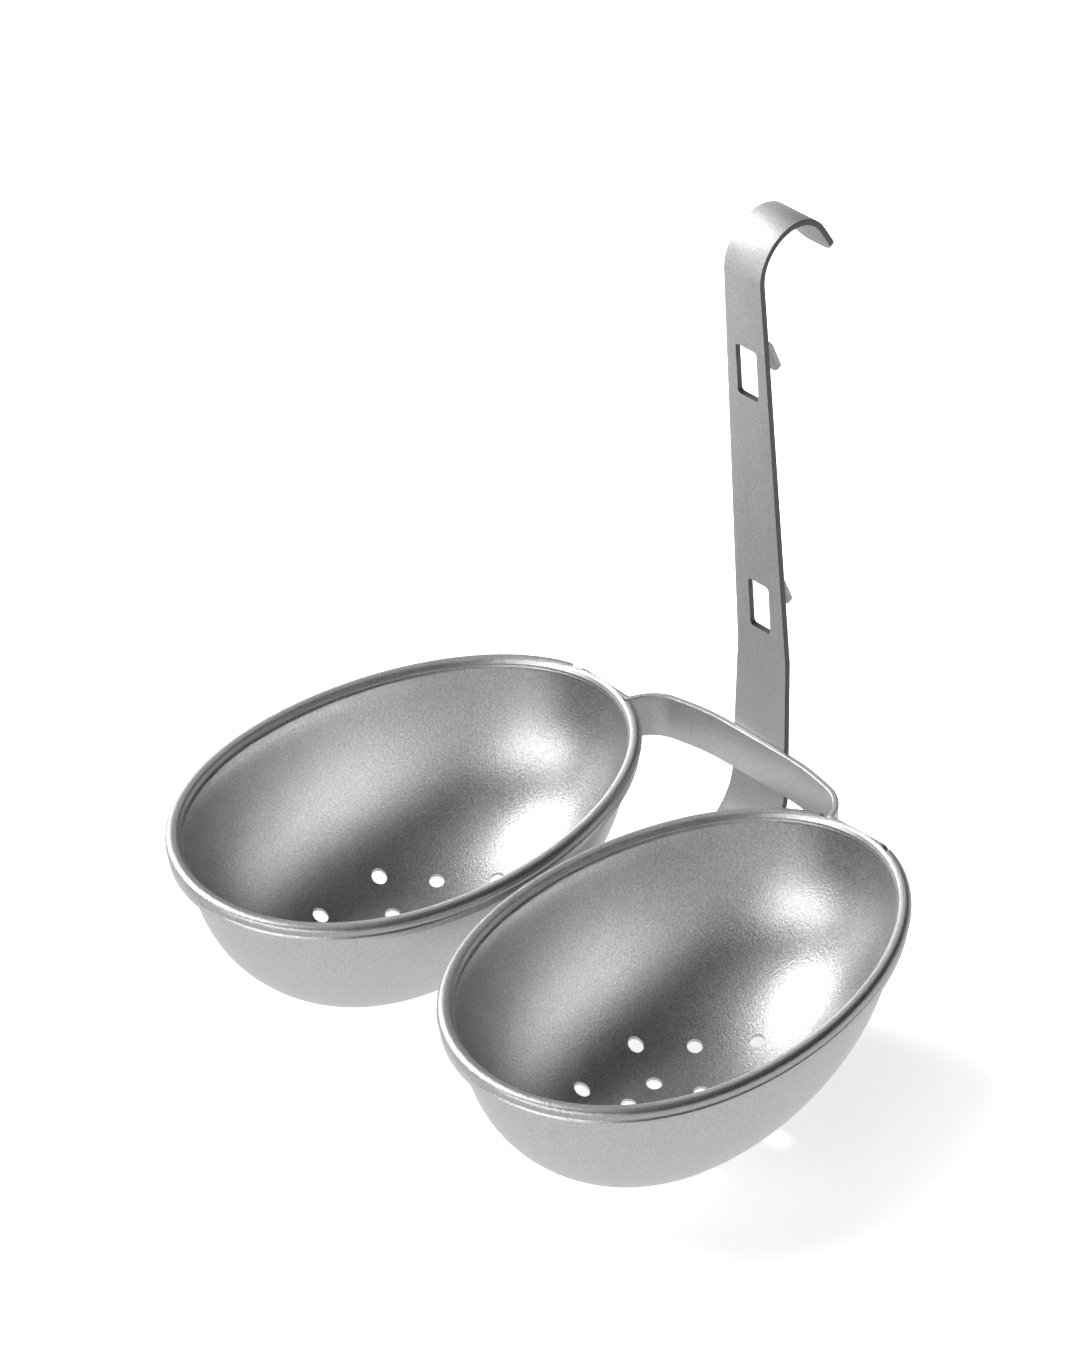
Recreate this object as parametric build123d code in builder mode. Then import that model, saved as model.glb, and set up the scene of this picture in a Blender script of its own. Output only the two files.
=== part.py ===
from build123d import *
from math import acos, asin, cos, exp, pi, radians, sin, tan
import os

# Egg poacher that hangs in a pot: two pressed egg cups, one cross strap behind them,
# one hanger strap with a pot hook, and the spot welds that join the sheets.
# Millimetres. +Z up, +Y from the cups towards the hanger, +X from the left cup to the right.
# The origin is on the ground, under the middle of the whole object.

# Cups
cup_length = 100.0           # rim, tip to tip, on the centre line of its bead
cup_width = 68.7             # rim, side to side, on the same line
cup_height = 37.9            # top of the bead above the ground
cup_spacing = 71.6           # between the centres of the two cups
cup_toe_in = 2.3             # degrees that each cup's back end turns to the middle
cup_sheet = 0.6
bead_radius = 1.3            # rolled edge, half of its width
bead_drop = 0.9              # how far its full width goes below its centre line
bead_underside = 0.3         # rounding of its lower outer edge
skirt_depth = 2.8            # turned-down edge, below the centre line of the bead
skirt_step = 0.4             # from the bead's outside in to the skirt's
side_inset = 1.6             # wall inside the bead's centre line, at the sides
front_inset = 2.65           # the same at the front end
flare_depth = 1.5            # height over which the wall leaves the bead
bottom_shift = 6.0           # how far forward the bottom lies from the rim's middle
drain_diameter = 3.0

# The egg outline is x = sin(t) (1 + point cos(t) + square cos(2t)), y = cos(t)
point_share = -0.072
square_share = 0.019
fullness = 2.26              # exponent of the wall's upright profile, 2 is an ellipse
foot_share = 0.3             # where the wall turns into the bottom, of the rim's size
flat_share = 0.2             # flat foot of the cup, of the rim's size
foot_blend = 6               # higher makes that turn tighter
bead_round_share = 0.94      # rounding of the bead, of its radius
outline_points = 40
wall_sections = 9

# Drain holes, as shares of the rim's half width and half length, from the cup's middle
drain_axis_shares = [0.44, 0.126]
drain_pair_shares = [(0.245, 0.276), (0.457, 0.106), (0.230, 0.036), (0.218, -0.114), (0.434, -0.210)]

# Cross strap
strap_thickness = 1.2
cross_height = 9.6
cross_above_bead = 0.5       # its top edge above the bead's centre line
cross_reach = 7.75           # its mid plane behind the back ends of the rims' centre lines
cross_flat = 15.2            # flat length that the hanger is welded to
cross_arc_radius = 45.0
cross_arc_run = 9.6          # of each arc beside the flat, along X
shoulder_half_width = 24.1   # corner where the strap turns forward
shoulder_radius = 8.4
tab_inner_reach = 7.2        # from the cup's axis to the bend
tab_outer_reach = 7.0        # from the cup's axis to the free end
tab_bend_radius = 0.9
tab_corner_radius = 1.5
notch_clearance = 1.2        # from the tab's ends to the ends of the rim's notch
notch_lip = 0.35             # of the rolled edge, left over the tab

# Hanger strap, heights above the ground
foot_width = 14.4
hanger_wide = 14.0           # width where the taper begins
hanger_narrow = 9.3          # width at the hook
taper_height = 26.6
lean_height = 57.0           # where it starts to lean towards the cups
lean_angle = 5.2             # degrees
lean_radius = 20.0
hook_height = 144.0          # where the arc of the hook starts
hook_radius = 8.5            # on the mid plane
hook_turn = 152.0            # degrees
hook_tip_length = 7.2
hook_tip_rounding = 3.0
leg_height = 22.1            # where the strap turns forward to its foot
leg_radius = 12.0
leg_angle = 42.0             # degrees forward of straight down
foot_radius = 6.0
foot_length = 9.0
foot_rounding = 4.0

# Windows punched in the hanger, and the tongues bent out of them
window_heights = [117.4, 62.7]   # lower edges
window_length = 11.3
window_width = 5.2
window_rounding = 0.8
window_punch = 3.0           # reach of the punch, each side of the mid plane
tongue_width = 4.8
tongue_bow = 3.1             # corner where it turns down, behind the strap's mid plane
tongue_bend_radius = 3.3
tongue_reach = 6.0           # tip, behind the same plane
tongue_drop = 7.9            # tip below the upper edge of the window
tongue_rounding = 1.8

# Spot welds
weld_diameter = 3.4
weld_depth = 0.4             # into each sheet, beyond the gap between them
cup_weld_offset = 2.4        # each side of the cup's axis
cup_weld_drop = 6.0          # below the bead's centre line
hanger_weld_offset = 3.4     # each side of the middle
overrun = 5.0                # of cutting tools past what they cut

# Worked out from the sizes above
half_length = cup_length / 2
half_width = cup_width / 2
rim_height = cup_height - bead_radius
foot_flat = foot_share**foot_blend
back_inset = bead_radius - cup_sheet
side_flare = side_inset - back_inset
end_flare = (front_inset - back_inset) / 2
tab_face = half_length - back_inset
tab_mid = tab_face + strap_thickness / 2
cross_top = rim_height + cross_above_bead
cross_bottom = cross_top - cross_height
leg = radians(leg_angle)
lean = radians(lean_angle)
whole_reach = cup_length + hook_height


def egg_points(wide, long, middle=0.0):
    """Points of an egg outline with the given half axes, its middle moved along Y."""
    points = []
    for i in range(outline_points):
        t = 2 * pi * i / outline_points
        bulge = 1 + point_share * cos(t) + square_share * cos(2 * t)
        points.append((wide * sin(t) * bulge, middle + long * cos(t)))
    return points


def egg(wide, long, middle=0.0, mode=Mode.ADD):
    """Egg face in the sketch that is open."""
    with BuildLine() as outline:
        Spline(*egg_points(wide, long, middle), periodic=True)
    make_face(outline.edges(), mode=mode)


def bowl_depth(share):
    """Depth of the bowl where the wall has drawn in to a share of the rim, before it is scaled."""
    rounded = ((share**foot_blend + foot_flat) / (1 + foot_flat)) ** (1 / foot_blend)
    return (1 - rounded**fullness) ** (1 / fullness)


def wall_section(level, skin):
    """Half width, half length and middle of the wall at a depth under the bead.

    skin is 0 for the outside of the wall and the sheet's thickness for the inside.
    """
    depth = bowl_depth(flat_share) * level / (rim_height - skin)
    rounded = (1 - depth**fullness) ** (1 / fullness)
    share = (rounded**foot_blend * (1 + foot_flat) - foot_flat) ** (1 / foot_blend)
    near_bead = exp(-level / flare_depth)
    wide = (half_width - side_inset - skin) * share + side_flare * near_bead
    long = (half_length - back_inset - end_flare - skin) * share + end_flare * near_bead
    middle = end_flare * (share - near_bead) - bottom_shift * (1 - share)
    return wide, long, middle


def wall_levels(deepest):
    """Depths of the wall's sections, close together under the bead and near the foot."""
    upper = [0, flare_depth / 2, flare_depth, 2 * flare_depth]
    first = asin((upper[-1] / deepest) ** (fullness / 2))
    last = acos(flat_share ** (fullness / 2))
    turns = [first + (last - first) * i / wall_sections for i in range(1, wall_sections + 1)]
    depths = [bowl_depth(cos(turn) ** (2 / fullness)) / bowl_depth(flat_share) for turn in turns]
    return upper + [deepest * depth for depth in depths]


def cup_plane(side, row):
    """Ground plane of one cup, its Y axis along the cup, for side -1 (left) or 1 (right)."""
    turn = radians(cup_toe_in) * side
    return Plane(origin=(side * cup_spacing / 2, row), x_dir=(cos(turn), sin(turn)), z_dir=(0, 0, 1))


# Hanger's side view: places behind the row of cup centres, and heights
hanger_reach = half_length + cross_reach + strap_thickness
hook_reach = hanger_reach - (hook_height - lean_height) * tan(lean) + hook_radius * cos(lean)
hook_end = radians(hook_turn - lean_angle)
tip_reach = hook_reach - hook_radius * cos(hook_end) + hook_tip_length * sin(hook_end)

# The whole object is centred on the origin from the front of the cups to the hook's tip
back_extent = tip_reach - strap_thickness / 2 * cos(hook_end)
rim_outside = egg_points(half_width + bead_radius, half_length + bead_radius)
front_extent = min(cup_plane(1, 0).from_local_coords(Vector(x, y)).Y for x, y in rim_outside)
cup_row = -(back_extent + front_extent) / 2
cross_plane = cup_row + half_length + cross_reach
hanger_plane = cup_row + hanger_reach
cups = {"left_cup": cup_plane(-1, cup_row), "right_cup": cup_plane(1, cup_row)}

# Spot weld between a flat tab and the rounded wall
weld_wide, weld_long, weld_middle = wall_section(cup_weld_drop, 0)
weld_gap = tab_face - weld_middle - weld_long * (1 - (cup_weld_offset / weld_wide) ** 2) ** 0.5
cup_weld_length = weld_gap + 2 * weld_depth


def thin_edges(edges):
    """The edges that run through the strap's thickness."""
    return edges.filter_by(lambda e: abs(e.length - strap_thickness) < strap_thickness / 10)


def cup_weld_planes(base):
    """Planes of a cup's two spot welds, starting inside the wall and facing the tab."""
    start = tab_face + weld_depth - cup_weld_length
    places = []
    for offset in (-cup_weld_offset, cup_weld_offset):
        places.append(base.from_local_coords((offset, start, rim_height - cup_weld_drop)))
    return [Plane(origin=place, x_dir=base.x_dir, z_dir=base.y_dir) for place in places]


def hanger_weld_planes():
    """Planes of the two spot welds between the cross strap and the hanger."""
    start = cross_plane + strap_thickness / 2 - weld_depth
    height = cross_top - cross_height / 2
    offsets = (-hanger_weld_offset, hanger_weld_offset)
    return [Plane(origin=(offset, start, height), x_dir=(1, 0, 0), z_dir=(0, 1, 0)) for offset in offsets]


def make_cup(base):
    """One pressed cup: egg bowl, rolled edge with a skirt, notch for the tab, drain holes."""
    with BuildPart() as cup:
        # Rolled edge, overhanging its turned-down skirt, hollow from below
        with BuildSketch(base.offset(rim_height - bead_drop)):
            egg(half_width + bead_radius, half_length + bead_radius)
        extrude(amount=bead_drop + bead_radius)
        fillet(cup.edges().group_by(Axis.Z)[0], radius=bead_underside)
        skirt_out = bead_radius - skirt_step
        with BuildSketch(base.offset(rim_height - skirt_depth)):
            egg(half_width + skirt_out, half_length + skirt_out)
        extrude(amount=skirt_depth)
        skirt_in = skirt_out - cup_sheet
        with BuildSketch(base.offset(rim_height - skirt_depth)):
            egg(half_width + skirt_in, half_length + skirt_in)
        extrude(amount=skirt_depth + bead_radius - cup_sheet, mode=Mode.SUBTRACT)

        # Outside of the wall, up into the bead
        for level in wall_levels(rim_height):
            with BuildSketch(base.offset(rim_height - level)):
                egg(*wall_section(level, 0))
        loft()
        with BuildSketch(base.offset(rim_height)):
            egg(half_width - back_inset, half_length - back_inset)
        extrude(amount=bead_radius)

        # Inside of the wall, and the mouth through the bead
        for level in wall_levels(rim_height - cup_sheet):
            with BuildSketch(base.offset(rim_height - level)):
                egg(*wall_section(level, cup_sheet))
        loft(mode=Mode.SUBTRACT)
        with BuildSketch(base.offset(rim_height)):
            egg(half_width - bead_radius, half_length - bead_radius)
        extrude(amount=bead_radius + overrun, mode=Mode.SUBTRACT)
        fillet(cup.edges().group_by(Axis.Z)[-1], radius=bead_radius * bead_round_share)

        # Notch in the back of the rolled edge, down to the wall
        notch_left = -tab_inner_reach - notch_clearance
        notch_right = tab_outer_reach + notch_clearance
        if base.origin.X < 0:
            notch_left, notch_right = -notch_right, -notch_left
        with BuildSketch(base.offset(rim_height - skirt_depth - overrun)):
            with Locations(((notch_left + notch_right) / 2, half_length)):
                Rectangle(notch_right - notch_left, half_width)
            lip = notch_lip - back_inset
            egg(half_width + lip, half_length + lip, mode=Mode.SUBTRACT)
        extrude(amount=skirt_depth + bead_radius + 2 * overrun, mode=Mode.SUBTRACT)

        # Drain holes
        places = [(0, share * half_length) for share in drain_axis_shares]
        for across, along in drain_pair_shares:
            places.append((across * half_width, along * half_length))
            places.append((-across * half_width, along * half_length))
        with BuildSketch(base):
            with Locations(*places):
                Circle(drain_diameter / 2)
        extrude(amount=rim_height, mode=Mode.SUBTRACT)

        # Seats of the spot welds
        with BuildSketch(*cup_weld_planes(base)):
            Circle(weld_diameter / 2)
        extrude(amount=cup_weld_length, mode=Mode.SUBTRACT)
    return cup.part


def make_cross_strap():
    """Strip on edge: flat and arcs behind the cups, legs forward, a tab in each notch."""
    with BuildPart() as strap:
        right = cups["right_cup"]
        bend = right.from_local_coords((-tab_inner_reach, tab_mid))
        end = right.from_local_coords((tab_outer_reach, tab_mid))
        arc_size = asin(cross_arc_run / cross_arc_radius)
        with BuildSketch(Plane.XY.offset(cross_bottom)):
            with BuildLine():
                flat = Line((0, cross_plane), (cross_flat / 2, cross_plane))
                arc = JernArc(flat @ 1, flat % 1, cross_arc_radius, -arc_size * 180 / pi)
                shoulder_run = shoulder_half_width - (arc @ 1).X
                shoulder = (arc @ 1) + (arc % 1) * (shoulder_run / (arc % 1).X)
                FilletPolyline(arc @ 1, shoulder, bend, end, radius=(shoulder_radius, tab_bend_radius))
                mirror(about=Plane.YZ)
            trace(line_width=strap_thickness)
        extrude(amount=cross_height)

        # Rounded corners of the tabs
        for base in cups.values():
            side = 1 if base.origin.X > 0 else -1
            tip = base.from_local_coords((side * tab_outer_reach, tab_mid, (cross_top + cross_bottom) / 2))
            corners = strap.edges().filter_by(lambda e: (e.center() - tip).length < cross_height)
            fillet(thin_edges(corners), radius=tab_corner_radius)

        # Seats of the spot welds
        for base in cups.values():
            with BuildSketch(*cup_weld_planes(base)):
                Circle(weld_diameter / 2)
            extrude(amount=cup_weld_length, mode=Mode.SUBTRACT)
        with BuildSketch(*hanger_weld_planes()):
            Circle(weld_diameter / 2)
        extrude(amount=2 * weld_depth, mode=Mode.SUBTRACT)
    return strap.part


def leaning_place(height):
    """Point of the hanger's mid plane at a height, on its leaning length."""
    return Vector(0, hanger_plane - (height - lean_height) * tan(lean), height)


def make_hanger():
    """Hanger strap: foot, leg, leaning length with windows and tongues, and the pot hook."""
    up = Vector(0, -sin(lean), cos(lean))
    back = Vector(0, cos(lean), sin(lean))
    with BuildPart() as hanger:
        # Side view, bent from one strip
        with BuildSketch(Plane.YZ):
            with BuildLine():
                leg_drop = leg_height - strap_thickness / 2
                heel = (hanger_plane - leg_drop * tan(leg), strap_thickness / 2)
                toe = (heel[0] - foot_length, heel[1])
                knee = (hanger_plane, leg_height)
                start = leaning_place(hook_height)
                bends = (foot_radius, leg_radius, lean_radius)
                strip = FilletPolyline(
                    toe, heel, knee, (hanger_plane, lean_height), (start.Y, start.Z), radius=bends
                )
                hook = JernArc(strip @ 1, strip % 1, hook_radius, -hook_turn)
                Line(hook @ 1, (hook @ 1) + (hook % 1) * hook_tip_length)
            trace(line_width=strap_thickness)
        extrude(amount=foot_width / 2, both=True)

        # Front view, narrower towards the hook
        with BuildSketch(Plane.XZ):
            with BuildLine():
                Polyline(
                    (0, 0),
                    (foot_width / 2, 0),
                    (hanger_wide / 2, taper_height),
                    (hanger_narrow / 2, hook_height),
                    (hanger_narrow / 2, hook_height + 2 * hook_radius),
                    (0, hook_height + 2 * hook_radius),
                )
                mirror(about=Plane.YZ)
            make_face()
        extrude(amount=whole_reach, both=True, mode=Mode.INTERSECT)

        # Rounded corners of the foot and of the hook's tip
        fillet(thin_edges(hanger.edges()).group_by(Axis.Y)[0], radius=foot_rounding)
        fillet(thin_edges(hanger.edges()).group_by(Axis.Y)[-1], radius=hook_tip_rounding)

        # Windows, with a tongue bent back from the upper edge of each
        for height in window_heights:
            low = leaning_place(height)
            with BuildSketch(Plane(origin=low + up * (window_length / 2), x_dir=(1, 0, 0), z_dir=back)):
                RectangleRounded(window_width, window_length, window_rounding)
            extrude(amount=window_punch, both=True, mode=Mode.SUBTRACT)

            root = low + up * (window_length + strap_thickness / 2)
            fall = tongue_drop + strap_thickness / 2
            with BuildSketch(Plane(origin=root, x_dir=back, z_dir=(1, 0, 0))):
                with BuildLine():
                    corners = ((0, 0), (tongue_bow, 0), (tongue_reach, -fall))
                    FilletPolyline(*corners, radius=tongue_bend_radius)
                trace(line_width=strap_thickness)
            extrude(amount=tongue_width / 2, both=True)
            tip = root + back * tongue_reach - up * fall
            near = hanger.edges().filter_by(lambda e: (e.center() - tip).length < tongue_width)
            fillet(thin_edges(near).sort_by_distance(tip)[0:2], radius=tongue_rounding)

        # Seats of the spot welds
        with BuildSketch(*hanger_weld_planes()):
            Circle(weld_diameter / 2)
        extrude(amount=2 * weld_depth, mode=Mode.SUBTRACT)
    return hanger.part


def make_welds(planes, length):
    """Group of spot welds, one disc on each plane."""
    with BuildPart() as welds:
        with BuildSketch(*planes):
            Circle(weld_diameter / 2)
        extrude(amount=length)
    return welds.part


pieces = {
    "left_cup": make_cup(cups["left_cup"]),
    "right_cup": make_cup(cups["right_cup"]),
    "cross_strap": make_cross_strap(),
    "hanger_strap": make_hanger(),
    "left_cup_welds": make_welds(cup_weld_planes(cups["left_cup"]), cup_weld_length),
    "right_cup_welds": make_welds(cup_weld_planes(cups["right_cup"]), cup_weld_length),
    "hanger_welds": make_welds(hanger_weld_planes(), 2 * weld_depth),
}
os.makedirs("parts", exist_ok=True)
for name, piece in pieces.items():
    piece.label = name
    export_step(piece, f"parts/{name}.step")
    box = piece.bounding_box()
    print(f"{name}: {piece.volume:.1f} mm3, from {box.min} to {box.max}")
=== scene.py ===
"""Looks of the egg poacher that hangs in a pot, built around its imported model."""

import logging
import math
from dataclasses import dataclass, field
from typing import Any

import bpy
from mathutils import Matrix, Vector


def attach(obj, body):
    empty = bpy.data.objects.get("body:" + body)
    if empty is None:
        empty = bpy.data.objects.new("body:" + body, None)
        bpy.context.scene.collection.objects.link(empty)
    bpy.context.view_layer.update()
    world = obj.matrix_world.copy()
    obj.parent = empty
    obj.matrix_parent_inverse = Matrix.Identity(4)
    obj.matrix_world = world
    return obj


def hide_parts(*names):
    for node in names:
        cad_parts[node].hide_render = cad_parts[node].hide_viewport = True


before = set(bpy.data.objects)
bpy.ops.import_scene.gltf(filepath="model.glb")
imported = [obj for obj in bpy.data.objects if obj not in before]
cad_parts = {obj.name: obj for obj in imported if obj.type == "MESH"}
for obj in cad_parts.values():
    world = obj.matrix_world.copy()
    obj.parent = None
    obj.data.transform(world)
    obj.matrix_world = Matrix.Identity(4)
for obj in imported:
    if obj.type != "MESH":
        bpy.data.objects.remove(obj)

LOG = logging.getLogger("egg_poacher")
MM = 0.001
SHARP_ANGLE = 0.5
WELD_DISTANCE = 0.0005
EDGE_STEPS = 3
WHITE = (1.0, 1.0, 1.0, 1.0)
CUP_ROW = -9.8979
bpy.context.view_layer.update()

Point = tuple[float, float, float]


class Value:
    """A socket of a node tree that takes part in arithmetic, each step a Math node."""

    def __init__(self, tree: "Tree", socket: bpy.types.NodeSocket) -> None:
        """Wraps one output socket.

        Args:
            tree: The tree that the socket belongs to.
            socket: The output socket.
        """
        self.tree = tree
        self.socket = socket

    def _math(self, operation: str, *terms: Any) -> "Value":
        """Adds a Math node.

        Args:
            operation: Name of the node's operation.
            *terms: Numbers or values, in the node's order.

        Returns:
            The node's result.
        """
        return self.tree.add("ShaderNodeMath", {"operation": operation}, dict(enumerate(terms)))

    def __add__(self, other: Any) -> "Value":
        """Sum."""
        return self._math("ADD", self, other)

    def __radd__(self, other: Any) -> "Value":
        """Sum, value on the right."""
        return self._math("ADD", other, self)

    def __sub__(self, other: Any) -> "Value":
        """Difference."""
        return self._math("SUBTRACT", self, other)

    def __rsub__(self, other: Any) -> "Value":
        """Difference, value on the right."""
        return self._math("SUBTRACT", other, self)

    def __mul__(self, other: Any) -> "Value":
        """Product."""
        return self._math("MULTIPLY", self, other)

    def __rmul__(self, other: Any) -> "Value":
        """Product, value on the right."""
        return self._math("MULTIPLY", other, self)

    def __truediv__(self, other: Any) -> "Value":
        """Quotient."""
        return self._math("DIVIDE", self, other)

    def __rtruediv__(self, other: Any) -> "Value":
        """Quotient, value on the right."""
        return self._math("DIVIDE", other, self)

    def __pow__(self, other: Any) -> "Value":
        """Power."""
        return self._math("POWER", self, other)

    def __rpow__(self, other: Any) -> "Value":
        """Power, value on the right."""
        return self._math("POWER", other, self)

    def __neg__(self) -> "Value":
        """The value with its sign turned."""
        return self._math("MULTIPLY", self, -1.0)

    def call(self, operation: str, *others: Any) -> "Value":
        """Any other operation of the Math node, such as SINE or MAXIMUM."""
        return self._math(operation, self, *others)

    def clamp(self) -> "Value":
        """The value held between 0 and 1."""
        return self.tree.add("ShaderNodeClamp", {}, {0: self})


class Tree:
    """A node tree that nodes are added to by type, settings and sockets."""

    def __init__(self, nodes: bpy.types.NodeTree) -> None:
        """Wraps a node tree.

        Args:
            nodes: The tree to add to.
        """
        self.nodes = nodes

    def node(self, kind: str, settings: dict[str, Any], sockets: dict[Any, Any]) -> bpy.types.Node:
        """Adds one node.

        Args:
            kind: Type name of the node.
            settings: Its settings, set before its sockets.
            sockets: Number, colour, value or socket for each input, by name or number.

        Returns:
            The new node.
        """
        node = self.nodes.nodes.new(kind)
        for name, setting in settings.items():
            setattr(node, name, setting)
        for key, term in sockets.items():
            self.join(node, key, term)
        return node

    def join(self, node: bpy.types.Node, key: Any, term: Any) -> None:
        """Feeds one input of a node.

        Args:
            node: The node to feed.
            key: Name or number of its input.
            term: Number, colour, value, socket, or a list of them for an input that takes several.
        """
        target = node.inputs[key]
        for single in term if isinstance(term, list) else [term]:
            source = single.socket if isinstance(single, Value) else single
            if isinstance(source, bpy.types.NodeSocket):
                self.nodes.links.new(source, target)
            else:
                target.default_value = source

    def add(self, kind: str, settings: dict[str, Any], sockets: dict[Any, Any], output: Any = 0) -> Value:
        """Adds one node and returns one of its outputs.

        Args:
            kind: Type name of the node.
            settings: Its settings.
            sockets: What feeds its inputs.
            output: Name or number of the output to return.

        Returns:
            The output as a value.
        """
        return Value(self, self.node(kind, settings, sockets).outputs[output])

    def length(self, vector: Value) -> Value:
        """Length of a vector."""
        return self.add("ShaderNodeVectorMath", {"operation": "LENGTH"}, {0: vector}, "Value")

    def split(self, vector: Value) -> tuple[Value, Value, Value]:
        """X, Y and Z of a vector."""
        parts = self.node("ShaderNodeSeparateXYZ", {}, {0: vector}).outputs
        return Value(self, parts[0]), Value(self, parts[1]), Value(self, parts[2])


class PieceTree(Tree):
    """Geometry Nodes tree of one piece, with a named input for each of its sizes in millimetres."""

    def __init__(self, name: str, sizes: dict[str, float], finish: bpy.types.Material) -> None:
        """Starts the tree.

        Args:
            name: Name of the piece that the tree makes.
            sizes: The piece's sizes, in millimetres, radians, counts or shares.
            finish: Material of the piece.
        """
        super().__init__(bpy.data.node_groups.new(name, "GeometryNodeTree"))
        self.name = name
        self.sizes = sizes
        self.finish = finish
        interface = self.nodes.interface
        interface.new_socket("Geometry", in_out="INPUT", socket_type="NodeSocketGeometry")
        interface.new_socket("Geometry", in_out="OUTPUT", socket_type="NodeSocketGeometry")
        self.identifiers = {
            size: interface.new_socket(size, in_out="INPUT", socket_type="NodeSocketFloat").identifier
            for size in sizes
        }
        self.entry = self.nodes.nodes.new("NodeGroupInput")

    def size(self, name: str) -> Value:
        """One of the tree's named sizes."""
        return Value(self, self.entry.outputs[name])

    def base(self) -> Value:
        """The geometry that the modifier is given."""
        return Value(self, self.entry.outputs["Geometry"])

    def place(self) -> tuple[Value, Value, Value]:
        """X, Y and Z of the points."""
        return self.split(self.add("GeometryNodeInputPosition", {}, {}))

    def move(self, geometry: Value, x: Any, y: Any, z: Any) -> Value:
        """Puts every point of a geometry where the three fields say."""
        point = self.add("ShaderNodeCombineXYZ", {}, {0: x, 1: y, 2: z})
        return self.add("GeometryNodeSetPosition", {}, {"Geometry": geometry, "Position": point})

    def attribute(self, name: str) -> Value:
        """A number stored on the points."""
        settings = {"data_type": "FLOAT"}
        return self.add("GeometryNodeInputNamedAttribute", settings, {"Name": name}, "Attribute")

    def store(self, geometry: Value, name: str, value: Any) -> Value:
        """Stores a number on the points of a geometry."""
        return self.add(
            "GeometryNodeStoreNamedAttribute",
            {"data_type": "FLOAT", "domain": "POINT"},
            {"Geometry": geometry, "Name": name, "Value": value},
        )

    def mark(self, geometry: Value, name: str, value: Any) -> Value:
        """Stores a number on the faces of a geometry."""
        return self.add(
            "GeometryNodeStoreNamedAttribute",
            {"data_type": "FLOAT", "domain": "FACE"},
            {"Geometry": geometry, "Name": name, "Value": value},
        )

    def cut(self, geometry: Value, operation: str, others: list[Value]) -> Value:
        """Joins or cuts closed meshes.

        Args:
            geometry: The mesh to work on.
            operation: DIFFERENCE or UNION.
            others: The meshes to take away or to add.

        Returns:
            The resulting mesh.
        """
        settings = {"operation": operation, "solver": "MANIFOLD"}
        if operation == "DIFFERENCE":
            return self.add("GeometryNodeMeshBoolean", settings, {"Mesh 1": geometry, "Mesh 2": others})
        return self.add("GeometryNodeMeshBoolean", settings, {"Mesh 2": [geometry, *others]})

    def close(self, geometry: Value) -> None:
        """Ends the tree: sharp and smooth edges, metres, real geometry and the finish.

        Args:
            geometry: The piece in millimetres.
        """
        angle = self.add("GeometryNodeInputMeshEdgeAngle", {}, {})
        sharp = self.add(
            "GeometryNodeStoreNamedAttribute",
            {"data_type": "BOOLEAN", "domain": "EDGE"},
            {"Geometry": geometry, "Name": "sharp_edge", "Value": angle.call("GREATER_THAN", SHARP_ANGLE)},
        )
        smooth = self.add(
            "GeometryNodeSetShadeSmooth", {"domain": "FACE"}, {"Geometry": sharp, "Shade Smooth": True}
        )
        metres = self.add("GeometryNodeTransform", {}, {"Geometry": smooth, "Scale": (MM, MM, MM)})
        real = self.add("GeometryNodeRealizeInstances", {}, {"Geometry": metres})
        dressed = self.add("GeometryNodeSetMaterial", {}, {"Geometry": real, "Material": self.finish})
        self.join(self.nodes.nodes.new("NodeGroupOutput"), "Geometry", dressed)

    def make(self, base: bpy.types.Mesh, replaced: str, slot: str) -> bpy.types.Object:
        """Runs the tree on a mesh and turns the result into a plain piece of the object.

        Args:
            base: Mesh that the modifier starts from.
            replaced: CAD node that the piece stands for.
            slot: The record's material slot; not used.

        Returns:
            The finished piece, riding on the root body.
        """
        piece = bpy.data.objects.new(self.name, base)
        bpy.context.scene.collection.objects.link(piece)
        modifier = piece.modifiers.new(self.name, "NODES")
        modifier.node_group = self.nodes
        for size, identifier in self.identifiers.items():
            modifier[identifier] = float(self.sizes[size])
        graph = bpy.context.evaluated_depsgraph_get()
        mesh = bpy.data.meshes.new_from_object(piece.evaluated_get(graph), depsgraph=graph)
        piece.modifiers.clear()
        mesh.materials.clear()
        mesh.materials.append(self.finish)
        mesh.polygons.foreach_set("material_index", [0] * len(mesh.polygons))
        piece.data = mesh
        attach(piece, "root")
        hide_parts(replaced)
        LOG.info("built %s: %d faces", self.name, len(mesh.polygons))
        return piece


def point_mesh(name: str, points: list[Point], edges: list[tuple[int, int]]) -> bpy.types.Mesh:
    """Mesh of points and edges that a tree starts from.

    Args:
        name: Name of the mesh.
        points: Places in millimetres.
        edges: Pairs of point numbers.

    Returns:
        The mesh.
    """
    mesh = bpy.data.meshes.new(name)
    mesh.from_pydata(points, edges, [])
    return mesh


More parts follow.
